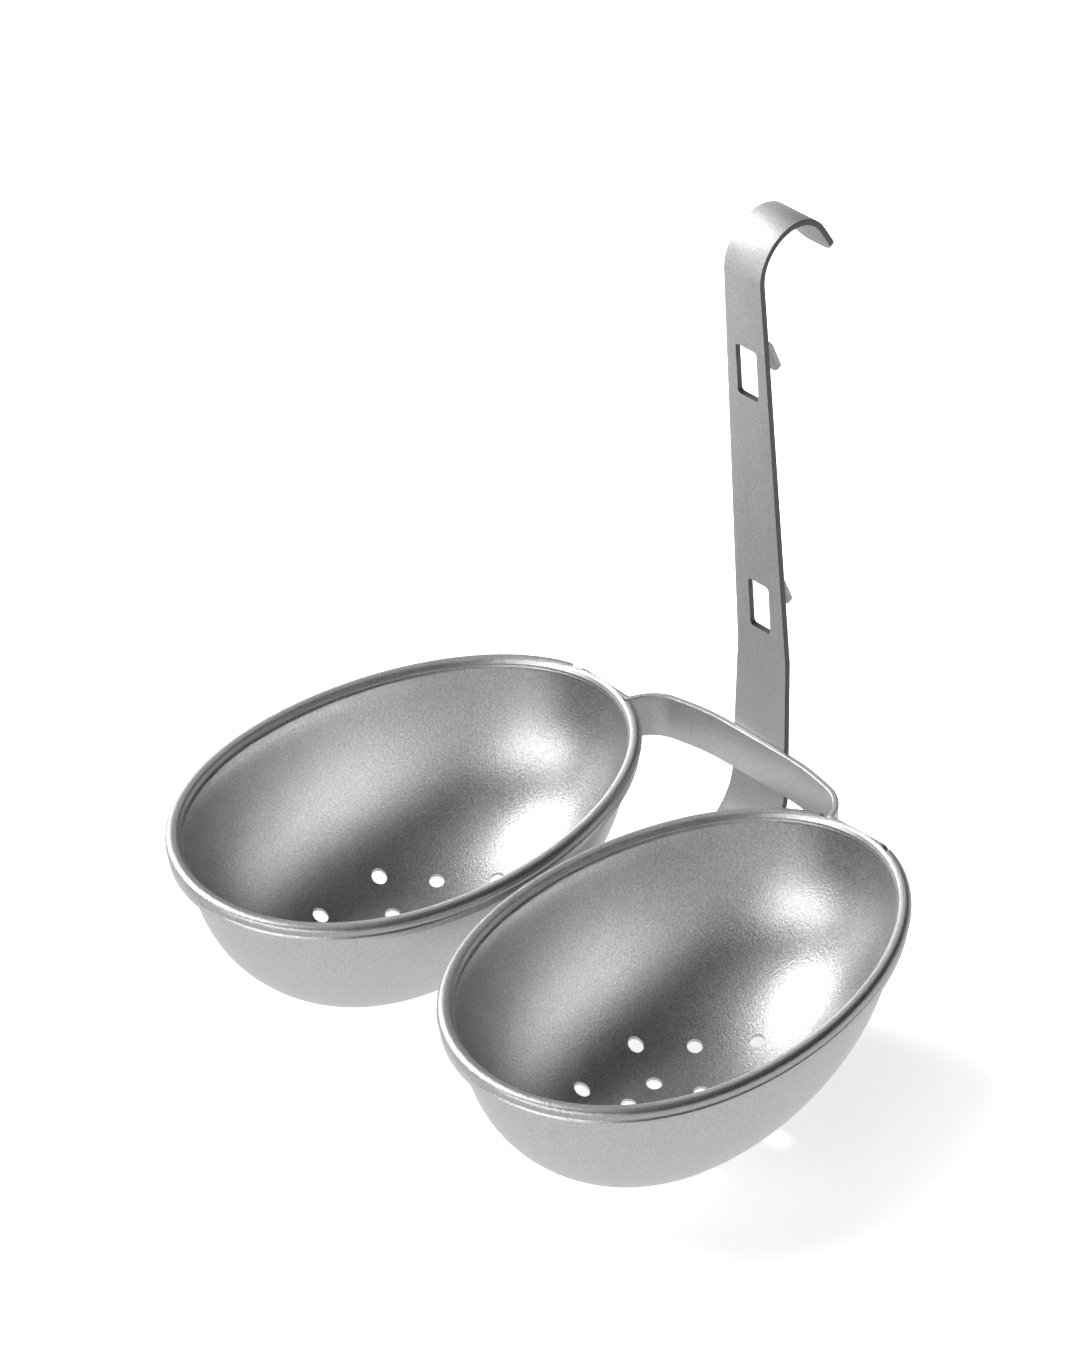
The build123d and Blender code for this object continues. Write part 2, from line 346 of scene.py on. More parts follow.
@dataclass(frozen=True)
class CupSizes:
    """Sizes of one cup in millimetres, as in the part's source."""

    length: float = 100.0
    width: float = 68.7
    height: float = 37.9
    sheet: float = 0.6
    bead_radius: float = 1.3
    curl: float = math.radians(40.0)
    groove_offset: float = 0.55
    groove_drop: float = 0.12
    shoulder_drop: float = 1.5
    shoulder_rounding: float = 0.16
    skirt_step: float = 0.4
    skirt_depth: float = 2.8
    skirt_rounding: float = 0.12
    side_inset: float = 1.6
    front_inset: float = 2.65
    flare_depth: float = 1.5
    bottom_shift: float = 6.0
    drain_radius: float = 1.5
    point_share: float = -0.072
    square_share: float = 0.019
    fullness: float = 2.26
    foot_share: float = 0.3
    flat_share: float = 0.2
    foot_blend: float = 6.0
    bead_slant: float = math.radians(72.0)
    bevel_top_offset: float = 1.1
    bevel_top_rise: float = 0.99
    bevel_edge_offset: float = 1.5
    bevel_edge_rise: float = 0.3
    ridge_level: float = 0.55
    ridge_width: float = 0.22
    ridge_height: float = 0.12
    notch_start: float = -8.4
    notch_end: float = 8.2
    notch_offset: float = -0.35
    overrun: float = 6.0


Station = tuple[Value, Value, Value, Value]


@dataclass
class EggCup:
    """Pressed egg cup: bowl, rolled edge with a skirt, notch for the tab and drain holes."""

    name: str
    node: str
    side: int
    sizes: CupSizes = CupSizes()
    spacing: float = 71.6
    toe_in: float = 2.3
    row: float = CUP_ROW
    around: int = 240
    wall_rows: int = 52
    ridge_rows: int = 18
    ridge_share: float = 0.075
    bead_rows: int = 20
    row_spacing: float = 1.35
    shoulder_bevel: float = 0.3
    bead_foot: tuple[float, float] = (0.7, 0.62)
    # painted shade on the rolled bead, to tone down its highlight
    bead_painted_shade: float = 0.3
    notch_steps: int = 24
    turn_tries: int = 12
    drain_sides: int = 40
    drains_on_axis: tuple[float, ...] = (0.44, 0.126)
    drain_pairs: tuple[tuple[float, float], ...] = (
        (0.245, 0.276), (0.457, 0.106), (0.230, 0.036), (0.218, -0.114), (0.434, -0.210)
    )

    def _bulge(self, turn: float) -> float:
        """Factor of the egg's width at a turn from its back end."""
        return 1.0 + self.sizes.point_share * math.cos(turn) + self.sizes.square_share * math.cos(2.0 * turn)

    def _turn_at(self, across: float) -> float:
        """Finds where the notch's lip is a given distance off the cup's axis.

        Args:
            across: The distance, with its sign.

        Returns:
            The turn from the cup's back end.
        """
        wide = self.sizes.width / 2 + self.sizes.notch_offset
        turn = 0.0
        for _ in range(self.turn_tries):
            turn = math.asin(across / (wide * self._bulge(turn)))
        return turn

    def _egg(self, tree: PieceTree, turn: Value, wide: Value, long: Value) -> tuple[Value, Value]:
        """Point of an egg outline.

        Args:
            tree: The cup's tree.
            turn: Turn from the back end.
            wide: Half width of the outline.
            long: Half length of the outline.

        Returns:
            Places across and along.
        """
        bulge = 1.0 + tree.size("point_share") * turn.call("COSINE")
        bulge = bulge + tree.size("square_share") * (turn * 2.0).call("COSINE")
        return wide * turn.call("SINE") * bulge, long * turn.call("COSINE")

    def _band(self, tree: PieceTree, rows: int, station: Any) -> Value:
        """Band of rings round the cup.

        Args:
            tree: The cup's tree.
            rows: Number of rings.
            station: Gives half width, half length, middle and height from a share of the band, 0 to 1.

        Returns:
            The band as a mesh, open along its two rims.
        """
        grid = tree.add(
            "GeometryNodeMeshGrid",
            {},
            {"Size X": 1.0, "Size Y": 1.0, "Vertices X": self.around + 1, "Vertices Y": rows},
        )
        x, y, _ = tree.place()
        wide, long, middle, height = station(y + 0.5)
        across, along = self._egg(tree, (x + 0.5) * math.tau, wide, long)
        return tree.move(grid, across, along + middle, height)

    def _bowl_depth(self, tree: PieceTree, reach: Value) -> Value:
        """Depth of the bowl before it is scaled.

        Args:
            tree: The cup's tree.
            reach: Share of the rim's size that the wall still has.

        Returns:
            The depth as a share.
        """
        full, blend = tree.size("fullness"), tree.size("foot_blend")
        flat = tree.size("foot_share") ** blend
        rounded = ((reach**blend + flat) / (1.0 + flat)) ** (1.0 / blend)
        return (1.0 - rounded**full).call("MAXIMUM", 0.0) ** (1.0 / full)

    def _ridge(self, tree: PieceTree, level: Value) -> Value:
        """How far the low ridge under the bead makes the inside of the wall stand inward at a level."""
        away = (level - tree.size("ridge_level")) / tree.size("ridge_width")
        return (-(away * away)).call("EXPONENT") * tree.size("ridge_height")

    def _wall(self, tree: PieceTree, share: Value, skin: Any) -> Station:
        """Station of the wall, from the bead at share 0 to the middle of the foot at share 1.

        Args:
            tree: The cup's tree.
            share: Share of the way down.
            skin: 0 for the outside of the sheet, or its thickness for the inside.

        Returns:
            Half width, half length, middle and height.
        """
        size = tree.size
        full = size("fullness")
        angle = share**self.row_spacing * (math.pi / 2)
        reach = angle.call("COSINE").call("MAXIMUM", 0.0) ** (2.0 / full)
        rim = size("height") - size("bead_radius")
        depth = self._bowl_depth(tree, reach) / self._bowl_depth(tree, size("flat_share"))
        level = (rim - skin) * depth.call("MINIMUM", 1.0)
        near_bead = (-(level / size("flare_depth"))).call("EXPONENT")
        back_inset = size("bead_radius") - size("sheet")
        side_flare = size("side_inset") - back_inset
        end_flare = (size("front_inset") - back_inset) / 2.0
        ridge = self._ridge(tree, level) * (skin / size("sheet"))
        wide = (size("width") / 2.0 - size("side_inset") - skin) * reach + side_flare * near_bead - ridge
        long = (size("length") / 2.0 - back_inset - end_flare - skin) * reach + end_flare * near_bead - ridge
        middle = end_flare * (reach - near_bead) - size("bottom_shift") * (1.0 - reach)
        return wide, long, middle, rim - level

    def _flange(self, tree: PieceTree, offset: Any, rise: Any) -> Station:
        """Station of the rolled edge.

        Args:
            tree: The cup's tree.
            offset: Distance outward from the bead's centre line.
            rise: Height over it.

        Returns:
            Half width, half length, middle and height.
        """
        rim = tree.size("height") - tree.size("bead_radius")
        wide = tree.size("width") / 2.0 + offset
        long = tree.size("length") / 2.0 + offset
        return wide, long, rim * 0.0, rim + rise

    def _shell(self, tree: PieceTree) -> Value:
        """Makes the closed shell, from the middle of the inside over the rolled edge to the underside.

        Args:
            tree: The cup's tree.

        Returns:
            The shell before its notch and holes are cut.
        """
        size = tree.size
        bead, sheet, curl = size("bead_radius"), size("sheet"), size("curl")
        skirt = bead - size("skirt_step")
        back_inset = bead - sheet
        rounding, shoulder = size("skirt_rounding"), size("shoulder_rounding")
        bevel_height = size("bevel_top_rise")
        curl_rise = -(bead * curl.call("SINE"))
        shoulder_rise = -size("shoulder_drop")
        cut, level = self.shoulder_bevel, bead * 0.0
        corners = [
            (bead * curl.call("COSINE"), curl_rise),
            (size("groove_offset"), curl_rise - size("groove_drop")),
            (skirt - shoulder, shoulder_rise + shoulder),
            (skirt - shoulder * cut, shoulder_rise + shoulder * cut),
            (skirt, shoulder_rise - shoulder * cut),
            (skirt, rounding - size("skirt_depth")),
            (skirt - rounding, -size("skirt_depth")),
            (skirt - sheet, -size("skirt_depth")),
            (skirt - sheet, bead - sheet),
            (-back_inset, bead - sheet),
            (-back_inset, level),
        ]
        top, slant = self.ridge_share, size("bead_slant")
        inward, upward = self.bead_foot
        bevel = [
            (-self._ridge(tree, level) - bead, level),
            (-size("bevel_edge_offset"), size("bevel_edge_rise")),
            (-size("bevel_top_offset"), bevel_height),
            (-(size("bevel_top_offset") * inward), bevel_height + (bead - bevel_height) * upward),
            (-(bead * slant.call("COSINE")), bead * slant.call("SINE")),
        ]
        bowl = self._band(
            tree, self.wall_rows, lambda share: self._wall(tree, 1.0 - share * (1.0 - top), sheet)
        )
        under_bead = self._band(
            tree, self.ridge_rows, lambda share: self._wall(tree, (1.0 - share) * top, sheet)
        )
        rolled = self._band(tree, self.bead_rows, lambda share: self._rolled(tree, share))
        bands = [
            tree.mark(bowl, "inside", 1.0),
            tree.mark(under_bead, "inside", 1.0),
            # the rolled bead gets painted shade that tones down its highlight
            tree.mark(rolled, "thin_coat", self.bead_painted_shade),
        ]
        for start, end in [*zip(bevel, bevel[1:]), *zip(corners, corners[1:])]:
            bands.append(
                self._band(tree, 2, lambda share, a=start, b=end: self._between(tree, share, a, b))
            )
        bands.append(self._band(tree, self.wall_rows, lambda share: self._wall(tree, share, 0.0)))
        joined = tree.add("GeometryNodeJoinGeometry", {}, {0: bands})
        return tree.add("GeometryNodeMergeByDistance", {}, {"Geometry": joined, "Distance": WELD_DISTANCE})

    def _rolled(self, tree: PieceTree, share: Value) -> Station:
        """Station of the round bead.

        Args:
            tree: The cup's tree.
            share: Share of the way from its inner side over the top to the end of its curl.

        Returns:
            Half width, half length, middle and height.
        """
        slant = tree.size("bead_slant")
        angle = slant + share * (math.pi + tree.size("curl") - slant)
        bead = tree.size("bead_radius")
        return self._flange(tree, -(bead * angle.call("COSINE")), bead * angle.call("SINE"))

    def _between(self, tree: PieceTree, share: Value, start: Any, end: Any) -> Station:
        """Station on the straight between two corners of the edge's section.

        Args:
            tree: The cup's tree.
            share: Share of the way.
            start: Offset and rise of the first corner.
            end: Offset and rise of the second corner.

        Returns:
            Half width, half length, middle and height.
        """
        offset = start[0] + (end[0] - start[0]) * share
        rise = start[1] + (end[1] - start[1]) * share
        return self._flange(tree, offset, rise)

    def _notch(self, tree: PieceTree) -> Value:
        """Makes the block that cuts the notch into the rolled edge and leaves its lip.

        Args:
            tree: The cup's tree.

        Returns:
            The block.
        """
        size = tree.size
        cube = tree.add(
            "GeometryNodeMeshCube",
            {},
            {"Size": (1.0, 1.0, 1.0), "Vertices X": self.notch_steps, "Vertices Y": 2, "Vertices Z": 2},
        )
        x, y, z = tree.place()
        turn = size("notch_from") + (size("notch_to") - size("notch_from")) * (x + 0.5)
        lip = size("notch_offset")
        across, along = self._egg(tree, turn, size("width") / 2.0 + lip, size("length") / 2.0 + lip)
        outside = size("length") / 2.0 + size("overrun")
        rim = size("height") - size("bead_radius")
        out = along + (outside - along) * (y + 0.5)
        return tree.move(cube, across, out, rim + z * size("overrun") * 2.0)

    def _drains(self, tree: PieceTree) -> Value:
        """Puts a cylinder on each of the base mesh's points, one for each drain hole.

        Args:
            tree: The cup's tree.

        Returns:
            The cylinders.
        """
        radius, depth = tree.size("drain_radius"), tree.size("height")
        rod = tree.add(
            "GeometryNodeMeshCylinder",
            {},
            {"Vertices": self.drain_sides, "Radius": radius, "Depth": depth},
            "Mesh",
        )
        rods = tree.add("GeometryNodeInstanceOnPoints", {}, {"Points": tree.base(), "Instance": rod})
        return tree.add("GeometryNodeRealizeInstances", {}, {"Geometry": rods})

    def _drain_places(self) -> list[tuple[float, float, float]]:
        """Lays out the drain holes round the cup's own middle.

        Returns:
            Their places in millimetres.
        """
        half_width, half_length = self.sizes.width / 2, self.sizes.length / 2
        places = [(0.0, share * half_length, 0.0) for share in self.drains_on_axis]
        for across, along in self.drain_pairs:
            places += [(side * across * half_width, along * half_length, 0.0) for side in (-1, 1)]
        return places

    def build(self, coat: bpy.types.Material) -> bpy.types.Object:
        """Makes the cup.

        Args:
            coat: Its material.

        Returns:
            The finished cup.
        """
        values = dict(vars(self.sizes))
        start, end = values.pop("notch_start"), values.pop("notch_end")
        if self.side < 0:
            start, end = -end, -start
        values |= {
            "notch_from": self._turn_at(start),
            "notch_to": self._turn_at(end),
            "turn": math.radians(self.toe_in) * self.side,
            "across": self.side * self.spacing / 2,
            "row": self.row,
        }
        tree = PieceTree(self.name, values, coat)
        cup = tree.cut(self._shell(tree), "DIFFERENCE", [self._notch(tree), self._drains(tree)])
        rotation = tree.add("ShaderNodeCombineXYZ", {}, {2: tree.size("turn")})
        middle = tree.add("ShaderNodeCombineXYZ", {}, {0: tree.size("across"), 1: tree.size("row")})
        placed = tree.add(
            "GeometryNodeTransform", {}, {"Geometry": cup, "Translation": middle, "Rotation": rotation}
        )
        tree.close(placed)
        return tree.make(point_mesh(self.name, self._drain_places(), []), self.node, "coated_steel")


@dataclass(frozen=True)
class Bend:
    """Point of a strip's path, on its mid plane, with the radius and the steps of its bend."""

    x: float
    y: float
    radius: float = 0.0
    steps: int = 1


@dataclass(frozen=True)
class StripSizes:
    """Sizes that both straps share, in millimetres."""

    thickness: float = 1.2
    edge_rounding: float = 0.28
    half_length: float = 50.0
    back_inset: float = 0.7
    spacing: float = 71.6
    toe_in: float = math.radians(2.3)
    row: float = CUP_ROW
    cross_reach: float = 7.75
    rim_height: float = 36.6


@dataclass
class Strip:
    """Strip of sheet that is swept along a bent path and narrowed by a rule."""

    name: str
    node: str
    shared: StripSizes = StripSizes()
    end_points: int = 7
    end_margin: float = 1.0

    def _rounded_end(self, tip: Bend, inner: Bend, rounding: float, room: float) -> list[Bend]:
        """Points that let the end of a path be rounded, from its tip inwards.

        Args:
            tip: End of the path.
            inner: The next point.
            rounding: Radius of the end's corners.
            room: Straight length that is there for it.

        Returns:
            The extra points.
        """
        length = math.hypot(inner.x - tip.x, inner.y - tip.y)
        extra = []
        for step in range(1, self.end_points + 1):
            distance = rounding * (1.0 - math.cos(math.pi / 2 * step / self.end_points))
            if distance < room:
                share = distance / length
                extra.append(Bend(tip.x + (inner.x - tip.x) * share, tip.y + (inner.y - tip.y) * share))
        return extra

    def _base(self, paths: list[list[Bend]]) -> bpy.types.Mesh:
        """Makes the mesh that the strap's tree starts from.

        Args:
            paths: The mid line of each strip.

        Returns:
            The paths as edges, each point with its bend and the number of its path.
        """
        points, edges, numbers = [], [], []
        for number, path in enumerate(paths):
            edges += [(len(points) + i, len(points) + i + 1) for i in range(len(path) - 1)]
            points += path
            numbers += [number] * len(path)
        mesh = point_mesh(self.name, [(point.x, point.y, 0.0) for point in points], edges)
        for name, values in (
            ("bend_radius", [point.radius for point in points]),
            ("bend_steps", [float(point.steps) for point in points]),
            ("path_number", [float(number) for number in numbers]),
        ):
            mesh.attributes.new(name, "FLOAT", "POINT").data.foreach_set("value", values)
        return mesh

    def _sweep(self, tree: PieceTree, path: Value, wide: Any) -> Value:
        """Strip along a path that lies flat, its width upright.

        Args:
            tree: The strap's tree.
            path: The path as points and edges.
            wide: Width before it is narrowed.

        Returns:
            The strip, whose points know how far along the path they are.
        """
        curve = tree.add("GeometryNodeMeshToCurve", {}, {"Mesh": path})
        steps, radius = tree.attribute("bend_steps"), tree.attribute("bend_radius")
        bent = tree.add(
            "GeometryNodeFilletCurve", {"mode": "POLY"}, {"Curve": curve, "Count": steps, "Radius": radius}
        )
        upright = tree.add("GeometryNodeSetCurveNormal", {"mode": "Z_UP"}, {0: bent})
        length = tree.add("GeometryNodeSplineParameter", {}, {}, "Length")
        known = tree.store(upright, "along", length)
        known = tree.store(known, "total", tree.add("GeometryNodeSplineLength", {}, {}, "Length"))
        section = tree.add(
            "GeometryNodeCurvePrimitiveQuadrilateral", {}, {"Width": tree.size("thickness"), "Height": wide}
        )
        rounded = tree.add(
            "GeometryNodeFilletCurve",
            {"mode": "POLY"},
            {"Curve": section, "Count": EDGE_STEPS, "Radius": tree.size("edge_rounding")},
        )
        swept = tree.add(
            "GeometryNodeCurveToMesh", {}, {"Curve": known, "Profile Curve": rounded, "Fill Caps": True}
        )
        return tree.add("GeometryNodeMergeByDistance", {}, {"Geometry": swept, "Distance": WELD_DISTANCE})

    def _end_loss(self, distance: Value, rounding: Any) -> Value:
        """What the rounding of an end takes off the half width at a distance from it."""
        short = (rounding - distance).call("MAXIMUM", 0.0)
        return rounding - (rounding * rounding - short * short).call("MAXIMUM", 0.0).call("SQRT")

    def _narrow(
        self, tree: PieceTree, strip: Value, half: Any, base_half: Any, start: Any, end: Any
    ) -> Value:
        """Narrows a swept strip and rounds its ends.

        Args:
            tree: The strap's tree.
            strip: The swept strip.
            half: Half width that it gets.
            base_half: Half width that it has.
            start: Corner radius at its start.
            end: Corner radius at its end.

        Returns:
            The narrowed strip.
        """
        along, total = tree.attribute("along"), tree.attribute("total")
        left = half - self._end_loss(along, start) - self._end_loss(total - along, end)
        x, y, z = tree.place()
        return tree.move(strip, x, y, z * left / base_half)


@dataclass(frozen=True)
class CrossSizes:
    """Sizes of the cross strap in millimetres."""

    height: float = 9.6
    above_bead: float = 0.5
    flat: float = 15.2
    arc_radius: float = 45.0
    arc_run: float = 9.6
    shoulder_half_width: float = 24.1
    shoulder_radius: float = 8.4
    tab_inner_reach: float = 7.2
    tab_outer_reach: float = 7.0
    tab_bend_radius: float = 0.9
    tab_rounding: float = 1.5
    arc_steps: int = 6
    shoulder_steps: int = 16
    tab_bend_steps: int = 8


@dataclass
class CrossStrap(Strip):
    """Strip on edge that joins the cups behind their rims."""

    sizes: CrossSizes = CrossSizes()

    def _path(self) -> list[Bend]:
        """Lays out the mid line.

        Returns:
            Its points from the left tab's free end to the right tab's.
        """
        sizes, shared = self.sizes, self.shared
        plane = shared.row + shared.half_length + shared.cross_reach
        turn = math.asin(sizes.arc_run / sizes.arc_radius)
        arc_end = (sizes.flat / 2 + sizes.arc_run, plane - sizes.arc_radius * (1.0 - math.cos(turn)))
        bow_x = sizes.flat / 2 + sizes.arc_radius * math.tan(turn / 2)
        bow = Bend(bow_x, plane, sizes.arc_radius, sizes.arc_steps)
        drop = (sizes.shoulder_half_width - arc_end[0]) * math.tan(turn)
        shoulder_y = arc_end[1] - drop
        shoulder = Bend(sizes.shoulder_half_width, shoulder_y, sizes.shoulder_radius, sizes.shoulder_steps)
        behind = shared.half_length - shared.back_inset + shared.thickness / 2
        bend = self._in_cup(-sizes.tab_inner_reach, behind, sizes.tab_bend_radius, sizes.tab_bend_steps)
        tip = self._in_cup(sizes.tab_outer_reach, behind, 0.0, 1)
        extra = self._rounded_end(tip, bend, sizes.tab_rounding, sizes.tab_rounding + self.end_margin)
        right = [bow, shoulder, bend, *reversed(extra), tip]
        left = [Bend(-point.x, point.y, point.radius, point.steps) for point in reversed(right)]
        return left + right

    def _in_cup(self, across: float, along: float, radius: float, steps: int) -> Bend:
        """Point of the path, given in the right cup's own directions.

        Args:
            across: Distance from the cup's axis.
            along: Distance behind its middle.
            radius: Radius of the bend there.
            steps: Steps of the bend.

        Returns:
            The point.
        """
        shared = self.shared
        c, s = math.cos(shared.toe_in), math.sin(shared.toe_in)
        x = shared.spacing / 2 + across * c - along * s
        return Bend(x, shared.row + across * s + along * c, radius, steps)

    def build(self, coat: bpy.types.Material) -> bpy.types.Object:
        """Makes the cross strap.

        Args:
            coat: Its material.

        Returns:
            The finished strap.
        """
        tree = PieceTree(self.name, vars(self.shared) | vars(self.sizes), coat)
        strip = self._sweep(tree, tree.base(), tree.size("height"))
        half = tree.size("height") / 2.0
        rounding = tree.size("tab_rounding")
        shaped = self._narrow(tree, strip, half, half, rounding, rounding)
        x, y, z = tree.place()
        middle = tree.size("rim_height") + tree.size("above_bead") - half
        tree.close(tree.move(shaped, x, y, z + middle))
        return tree.make(self._base([self._path()]), self.node, "coated_steel")


@dataclass(frozen=True)
class HangerSizes:
    """Sizes of the hanger strap in millimetres."""

    foot_width: float = 14.4
    wide: float = 14.0
    narrow: float = 9.3
    taper_height: float = 26.6
    lean_height: float = 57.0
    lean: float = math.radians(5.2)
    lean_radius: float = 20.0
    hook_height: float = 144.0
    hook_radius: float = 8.5
    hook_turn: float = math.radians(152.0)
    hook_tip_length: float = 7.2
    hook_tip_rounding: float = 3.0
    leg_height: float = 22.1
    leg_radius: float = 12.0
    leg_angle: float = math.radians(42.0)
    foot_radius: float = 6.0
    foot_length: float = 9.0
    foot_rounding: float = 4.0
    window_length: float = 11.3
    window_width: float = 5.2
    window_rounding: float = 0.8
    tongue_width: float = 4.8
    tongue_bow: float = 3.1
    tongue_bend_radius: float = 3.3
    tongue_reach: float = 6.0
    tongue_drop: float = 7.9
    tongue_rounding: float = 1.8
    foot_steps: int = 10
    leg_steps: int = 14
    lean_steps: int = 6
    hook_steps: int = 40
    tongue_steps: int = 18


@dataclass
class HangerStrap(Strip):
    """Hanger: foot, leg, leaning length with windows and tongues, and the pot hook."""

    sizes: HangerSizes = HangerSizes()
    window_heights: tuple[float, ...] = (117.4, 62.7)
    corner_sides: int = 20
    window_depth: float = 4.0
    edge_share: float = 0.9

    def _leaning(self, height: float) -> tuple[float, float]:
        """Point of the mid plane at a height, on the leaning length."""
        reach = self.shared.half_length + self.shared.cross_reach + self.shared.thickness
        return reach - (height - self.sizes.lean_height) * math.tan(self.sizes.lean), height

    def _strap_path(self) -> list[Bend]:
        """Lays out the strap's mid line.

        Returns:
            Its points from the toe of the foot to the tip of the hook.
        """
        sizes, half = self.sizes, self.shared.thickness / 2
        reach = self._leaning(self.sizes.lean_height)[0]
        heel_x = reach - (sizes.leg_height - half) * math.tan(sizes.leg_angle)
        heel = Bend(heel_x, half, sizes.foot_radius, sizes.foot_steps)
        toe = Bend(heel.x - sizes.foot_length, half)
        hook_x, hook_y = self._leaning(sizes.hook_height)
        run = sizes.hook_radius * math.tan(sizes.hook_turn / 2)
        crown_x, crown_y = hook_x - run * math.sin(sizes.lean), hook_y + run * math.cos(sizes.lean)
        crown = Bend(crown_x, crown_y, sizes.hook_radius, sizes.hook_steps)
        heading = math.pi / 2 + sizes.lean - sizes.hook_turn
        last = run + sizes.hook_tip_length
        tip = Bend(crown.x + last * math.cos(heading), crown.y + last * math.sin(heading))
        return [
            toe,
            *self._rounded_end(toe, heel, sizes.foot_rounding, sizes.foot_rounding + self.end_margin),
            heel,
            Bend(reach, sizes.leg_height, sizes.leg_radius, sizes.leg_steps),
            Bend(reach, sizes.lean_height, sizes.lean_radius, sizes.lean_steps),
            crown,
            *reversed(self._rounded_end(tip, crown, sizes.hook_tip_rounding, sizes.hook_tip_length)),
            tip,
        ]

    def _tongue_path(self, window: float) -> list[Bend]:
        """Lays out the mid line of one tongue.

        Args:
            window: Height of the lower edge of the window that it is bent out of.

        Returns:
            Its points from the strap to its tip.
        """
        sizes, half = self.sizes, self.shared.thickness / 2
        low_x, low_y = self._leaning(window)
        s, c = math.sin(sizes.lean), math.cos(sizes.lean)
        rise = sizes.window_length + half

        def at(back: float, up: float, radius: float = 0.0, steps: int = 1) -> Bend:
            """Point by its distance behind the strap and above the tongue's root."""
            height = rise + up
            return Bend(low_x - height * s + back * c, low_y + height * c + back * s, radius, steps)

        drop = sizes.tongue_drop + half
        bend = at(sizes.tongue_bow, 0.0, sizes.tongue_bend_radius, sizes.tongue_steps)
        tip = at(sizes.tongue_reach, -drop)
        extra = self._rounded_end(tip, bend, sizes.tongue_rounding, sizes.tongue_rounding + self.end_margin)
        return [at(0.0, 0.0), bend, *reversed(extra), tip]

    def _window(self, tree: PieceTree, height: float) -> Value:
        """Makes the rounded block that cuts one window.

        Args:
            tree: The hanger's tree.
            height: Height of the window's lower edge.

        Returns:
            The block.
        """
        rod = tree.add(
            "GeometryNodeMeshCylinder",
            {},
            {"Vertices": self.corner_sides, "Radius": 1.0, "Depth": self.shared.thickness * self.window_depth},
            "Mesh",
        )
        x, y, z = tree.place()
        angle = y.call("ARCTAN2", x) + math.pi / self.corner_sides
        rounding = tree.size("window_rounding")
        up, across = angle.call("COSINE"), angle.call("SINE")
        up = up.call("SIGN") * (tree.size("window_length") / 2.0 - rounding) + up * rounding
        across = across.call("SIGN") * (tree.size("window_width") / 2.0 - rounding) + across * rounding
        up = up + tree.size("window_length") / 2.0
        low_x, low_y = self._leaning(height)
        s, c = math.sin(self.sizes.lean), math.cos(self.sizes.lean)
        placed = tree.move(rod, low_x - up * s + z * c, low_y + up * c + z * s, across)
        # the block's faces carry painted shade onto the window's cut edges
        return tree.mark(placed, "thin_coat", 1.0)

    def _edged(self, tree: PieceTree, strip: Value, half: Value) -> Value:
        """Marks the cut edges of a swept strip of the given half width for painted shade."""
        over = tree.place()[2].call("ABSOLUTE") - (half - tree.size("edge_rounding") * self.edge_share)
        return tree.mark(strip, "thin_coat", over.call("GREATER_THAN", 0.0))

    def _half_width(self, tree: PieceTree) -> Value:
        """Works out the strap's two tapers.

        Args:
            tree: The hanger's tree.

        Returns:
            Half width at the height of each point.
        """
        height = tree.place()[1]
        size = tree.size
        turn, top = size("taper_height"), size("hook_height")
        foot, wide = size("foot_width") / 2.0, size("wide") / 2.0
        loss = (size("narrow") - size("wide")) / 2.0
        lower = tree.add("ShaderNodeMapRange", {}, {0: height, 1: 0.0, 2: turn, 3: foot, 4: wide})
        upper = tree.add("ShaderNodeMapRange", {}, {0: height, 1: turn, 2: top, 3: 0.0, 4: loss})
        return lower + upper

    def build(self, coat: bpy.types.Material) -> bpy.types.Object:
        """Makes the hanger.

        Args:
            coat: Its material.

        Returns:
            The finished hanger.
        """
        tree = PieceTree(self.name, vars(self.shared) | vars(self.sizes), coat)
        size = tree.size
        foot_half, tongue_half = size("foot_width") / 2.0, size("tongue_width") / 2.0
        split = tree.node(
            "GeometryNodeSeparateGeometry",
            {"domain": "POINT"},
            {"Geometry": tree.base(), "Selection": tree.attribute("path_number").call("LESS_THAN", 0.5)},
        )
        strap = self._sweep(tree, Value(tree, split.outputs[0]), size("foot_width"))
        strap = self._edged(tree, strap, foot_half)
        shaped = self._narrow(
            tree, strap, self._half_width(tree), foot_half, size("foot_rounding"), size("hook_tip_rounding")
        )
        tongues = self._sweep(tree, Value(tree, split.outputs[1]), size("tongue_width"))
        square = 0.0 * tongue_half
        tongues = self._narrow(tree, tongues, tongue_half, tongue_half, square, size("tongue_rounding"))
        cut = tree.cut(shaped, "DIFFERENCE", [self._window(tree, height) for height in self.window_heights])
        whole = tree.cut(cut, "UNION", [tongues])
        x, y, z = tree.place()
        tree.close(tree.move(whole, z, x + size("row"), y))
        paths = [self._strap_path(), *(self._tongue_path(height) for height in self.window_heights)]
        return tree.make(self._base(paths), self.node, "coated_steel")


def noise(tree: Tree, place: Value, scale: float, detail: float, steepness: float) -> Value:
    """Noise on the object's own coordinates.

    Args:
        tree: The material's tree.
        place: Object coordinates.
        scale: Cells per metre.
        detail: Finer layers.
        steepness: Share that each finer layer has of the one before.

    Returns:
        A number round 0.5.
    """
    sockets = {"Vector": place, "Scale": scale, "Detail": detail, "Roughness": steepness}
    return tree.add("ShaderNodeTexNoise", {}, sockets)


def tinted(tree: Tree, colour: tuple[float, float, float], shade: Value) -> Value:
    """A colour times a shade."""
    settings = {"data_type": "RGBA", "blend_type": "MULTIPLY"}
    return tree.add("ShaderNodeMix", settings, {"Factor": 1.0, "A": (*colour, 1.0), "B": shade}, 2)


